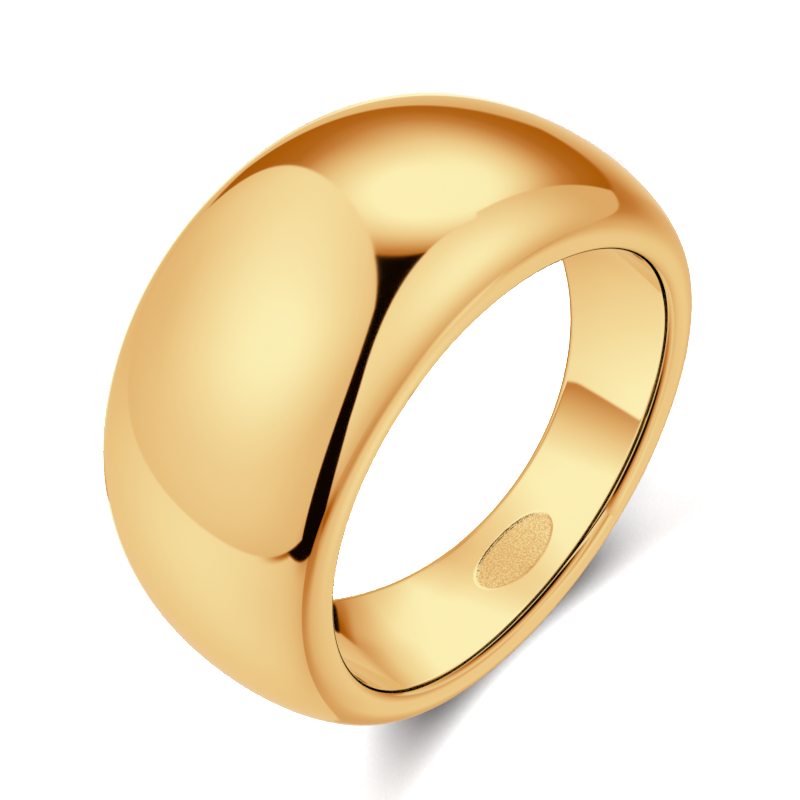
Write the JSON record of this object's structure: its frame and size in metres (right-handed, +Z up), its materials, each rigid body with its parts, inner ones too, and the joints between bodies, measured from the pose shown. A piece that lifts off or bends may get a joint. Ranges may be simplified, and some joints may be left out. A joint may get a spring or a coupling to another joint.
{
  "type": "chunky dome ring",
  "caption": "Chunky one-piece finger ring: a smooth dome that tapers evenly into a slim shank, with a plain round comfort-edged bore, lying on its side.",
  "frame": {"origin": "on the surface that the ring lies on, under the middle of its box", "axes": "+Z up from the surface, +X towards the dome's side, +Y across the ring; the bore's axis leans about 10 degrees from +Z towards -X, because the dome is wider than the shank"},
  "size_m": [0.022, 0.0222, 0.0117],
  "materials": {
    "polished_gold": "polished"
  },
  "bodies": {
    "root": {"band": "polished_gold"}
  },
  "joints": []
}
